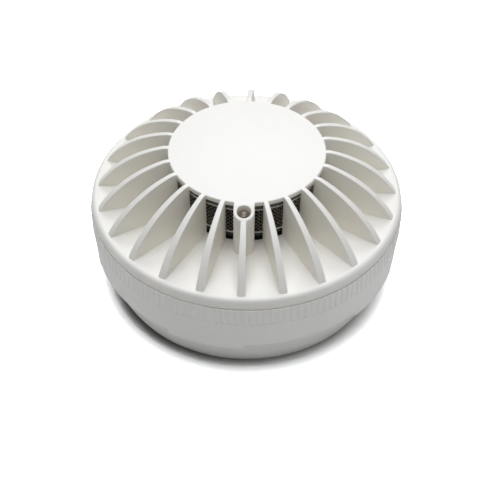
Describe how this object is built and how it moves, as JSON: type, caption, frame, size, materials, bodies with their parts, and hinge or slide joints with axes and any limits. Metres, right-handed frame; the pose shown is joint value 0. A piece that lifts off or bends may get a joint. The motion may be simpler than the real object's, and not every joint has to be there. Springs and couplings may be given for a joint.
{
  "type": "heat detector",
  "caption": "Round plug-in ceiling detector: a finned, screened sensing head with a domed indicator that twists and lifts off a shallow bayonet base with slotted screw holes.",
  "frame": {"origin": "centre of the base's mounting face, the face that lies on the ceiling", "axes": "+Z points from the ceiling into the room, along the head's axis; -Y is the front, where the indicator is; +X is to the right of it"},
  "size_m": [0.117, 0.117, 0.0579],
  "materials": {
    "cover_white": "fine satin moulded white plastic",
    "shell_grey": "fine satin moulded off-white plastic",
    "back_white": "satin moulded white plastic",
    "frame_black": "moulded black plastic",
    "chamber_black": "dull black, light absorbing",
    "screen_mesh": "fine woven wire, dark coated",
    "clear_lens": "clear moulded acrylic light guide",
    "led_red": "diffused red LED body",
    "contact_metal": "rolled nickel silver and phosphor bronze strip",
    "plated_steel": "zinc plated",
    "tinned_steel": "tinned sheet",
    "seal_rubber": "soft closed-cell seal",
    "board_green": "solder mask on glass-fibre laminate",
    "chip_black": "epoxy package",
    "can_blue": "sleeved aluminium can",
    "emitter_blue": "tinted clear epoxy",
    "photodiode_dark": "infrared-pass epoxy",
    "thermistor_bead": "epoxy-dipped bead"
  },
  "bodies": {
    "base": {"base_shell": "shell_grey", "contact_springs": "contact_metal", "clamp_plates": "plated_steel", "terminal_screws": "plated_steel"},
    "seal": {"seal_ring": "seal_rubber"},
    "head": {"head_body": "shell_grey", "back_plate": "back_white", "back_plate_screws": "plated_steel", "contact_blades": "contact_metal", "circuit_board": "board_green", "board_screws": "plated_steel", "microcontroller": "chip_black", "capacitors": "can_blue", "surge_suppressors": "chip_black", "resistors": "chip_black", "shield_can": "tinned_steel", "chamber_base": "chamber_black", "chamber_cover": "chamber_black", "infrared_emitter": "emitter_blue", "photodiode": "photodiode_dark", "thermistors": "thermistor_bead", "screen_frame": "frame_black", "insect_screen": "screen_mesh", "indicator_led": "led_red", "light_guide": "clear_lens", "finned_cover": "cover_white"}
  },
  "joints": [
    {"name": "head_lift", "type": "slide", "parent": "base", "child": "seal", "axis": [0, 0, 1], "range_m": [0, 0.04]},
    {"name": "head_twist", "type": "hinge", "parent": "seal", "child": "head", "pos_m": [0, 0, 0], "axis": [0, 0, 1], "range_deg": [-20, 0]}
  ]
}
